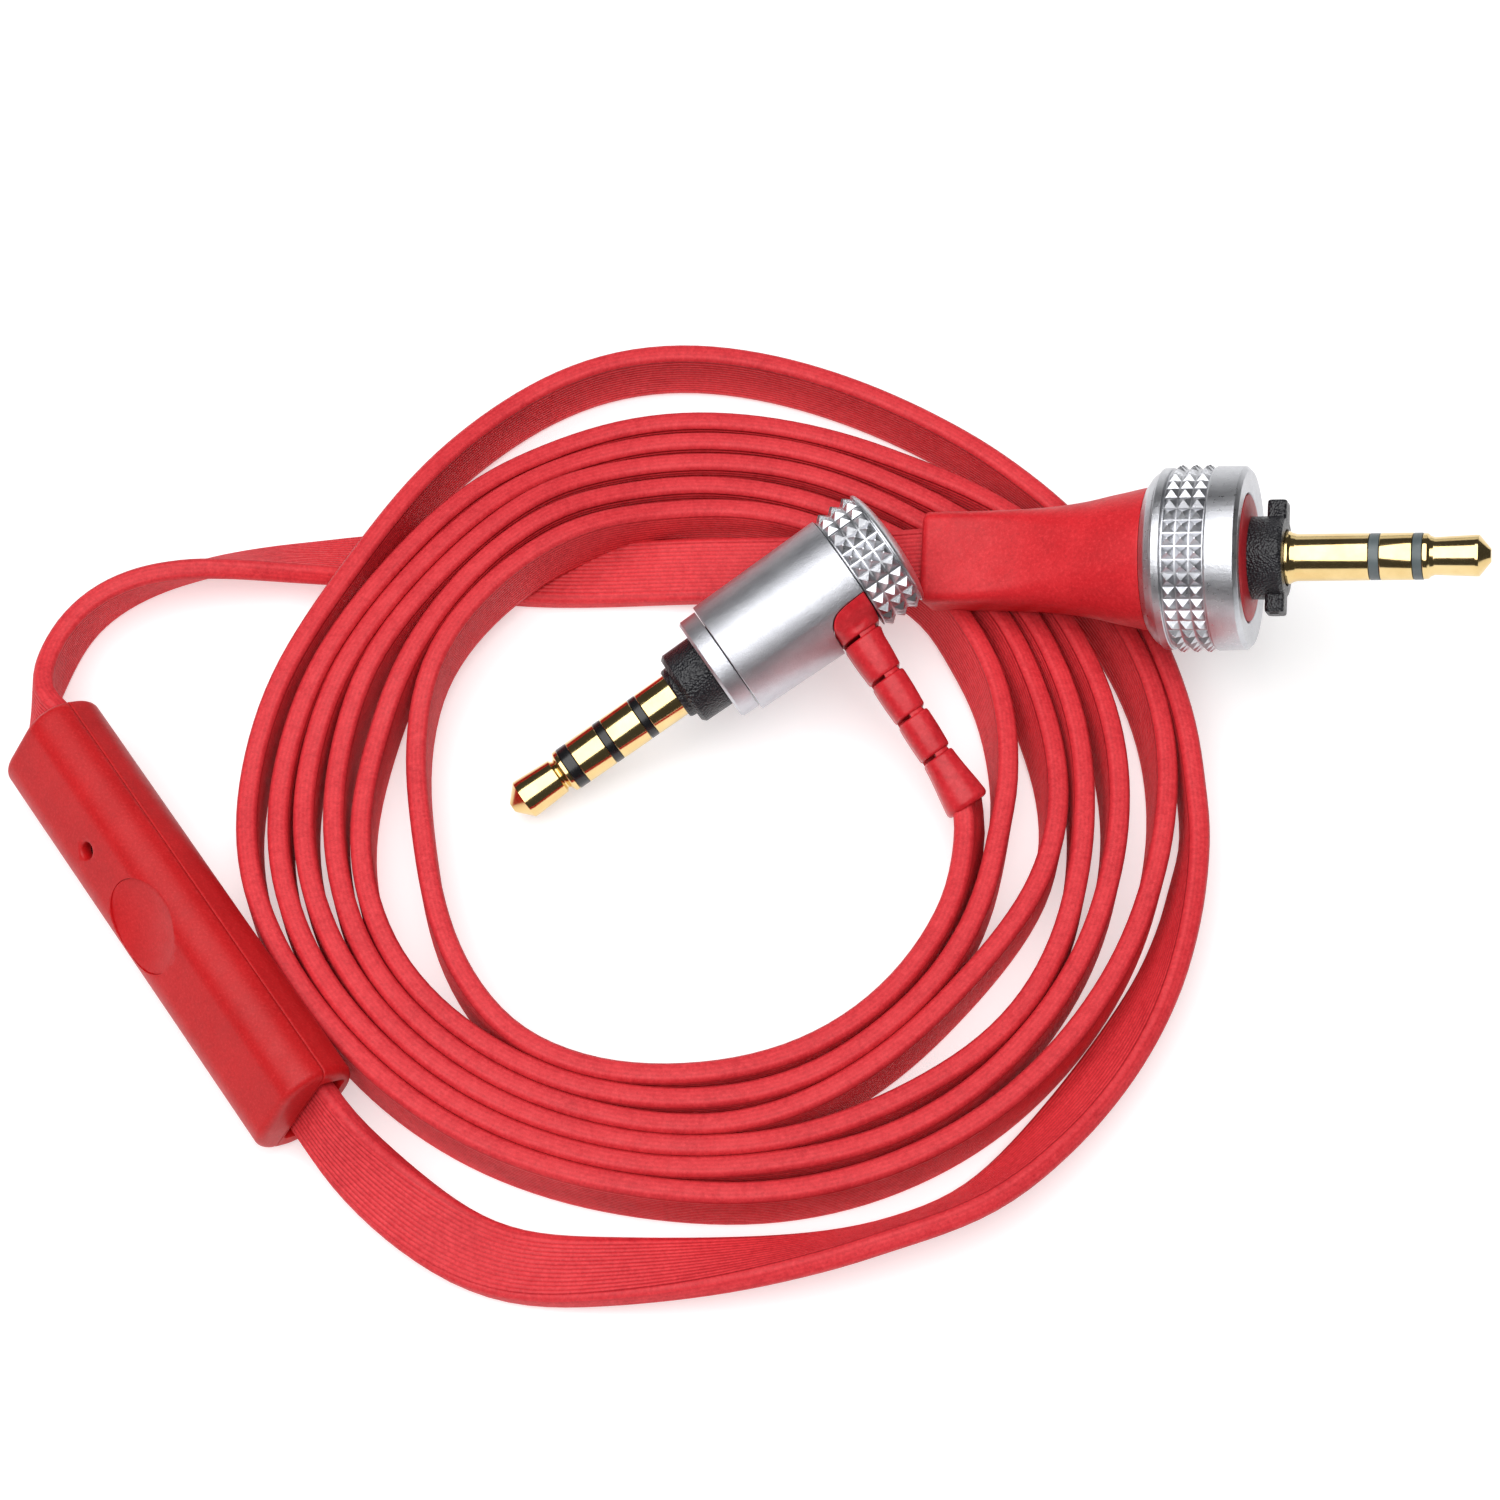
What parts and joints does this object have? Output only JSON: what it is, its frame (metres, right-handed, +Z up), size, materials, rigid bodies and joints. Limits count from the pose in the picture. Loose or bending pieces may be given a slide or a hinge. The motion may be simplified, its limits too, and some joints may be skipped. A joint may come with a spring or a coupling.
{
  "type": "headphone cable",
  "caption": "Coiled flat ribbed audio cable with an angled 3.5 mm plug in a segmented boot, an in-line microphone remote, and a straight 3.5 mm plug with a locking collar.",
  "frame": {"origin": "centre of the box of the plugs and the remote, on the table they lie on", "axes": "+X along the longest extent, to the straight plug's end; +Y away from the viewer; +Z up from the table"},
  "size_m": [0.1098, 0.0791, 0.02],
  "materials": {
    "cord_rubber": "matte, finely ribbed lengthwise",
    "boot_rubber": "satin matte",
    "remote_red": "satin, lightly grained",
    "housing_red": "satin, fine grain",
    "disc_red": "satin",
    "silver_satin": "satin, fine bead blasted",
    "silver_knurled": "satin, knurled",
    "gold": "polished gold plate",
    "black_nylon": "fine moulded grain",
    "grey_band": "smooth",
    "moulded_core": "smooth",
    "circuit_board": "lacquered",
    "copper": "satin",
    "spring_steel": "satin"
  },
  "bodies": {
    "cable": {"angled_end_cap": "silver_knurled", "angled_barrel": "silver_satin", "angled_trim_ring": "silver_satin", "angled_base": "black_nylon", "angled_contact_mould": "moulded_core", "angled_sleeve": "gold", "angled_ring_2": "gold", "angled_ring_1": "gold", "angled_tip": "gold", "angled_insulator_1": "black_nylon", "angled_insulator_2": "black_nylon", "angled_insulator_3": "black_nylon", "angled_terminal_board": "circuit_board", "angled_cord_crimp": "copper", "angled_boot": "boot_rubber", "straight_housing": "housing_red", "straight_cord_crimp": "copper", "straight_terminal_board": "circuit_board", "straight_core": "moulded_core", "collar_clip": "spring_steel", "straight_sleeve": "gold", "straight_ring": "gold", "straight_tip": "gold", "straight_insulator_1": "grey_band", "straight_insulator_2": "grey_band", "remote_front_shell": "remote_red", "remote_back_shell": "remote_red", "remote_board": "circuit_board", "switch_body": "spring_steel", "mic_capsule": "spring_steel", "mic_gasket": "black_nylon", "board_capacitor": "copper", "board_resistor": "black_nylon", "cord_anchor_upper": "spring_steel", "cord_anchor_lower": "spring_steel", "coil_cord": "cord_rubber", "outer_loop_cord": "cord_rubber", "plug_lead_cord": "cord_rubber"},
    "twist_collar": {"lock_collar": "silver_knurled", "collar_disc": "disc_red", "bayonet_base": "black_nylon"},
    "call_button": {"remote_button": "remote_red", "switch_plunger": "black_nylon"}
  },
  "joints": [
    {"name": "collar_twist", "type": "hinge", "parent": "cable", "child": "twist_collar", "pos_m": [0.03452, 0.01788, 0.01246], "axis": [0.952, -0.1491, 0.2672], "range_deg": [0, 60]},
    {"name": "button_press", "type": "slide", "parent": "cable", "child": "call_button", "axis": [0.6451, 0.4525, -0.6157], "range_m": [0, 0.0003], "stiffness_N_per_m": 500}
  ]
}
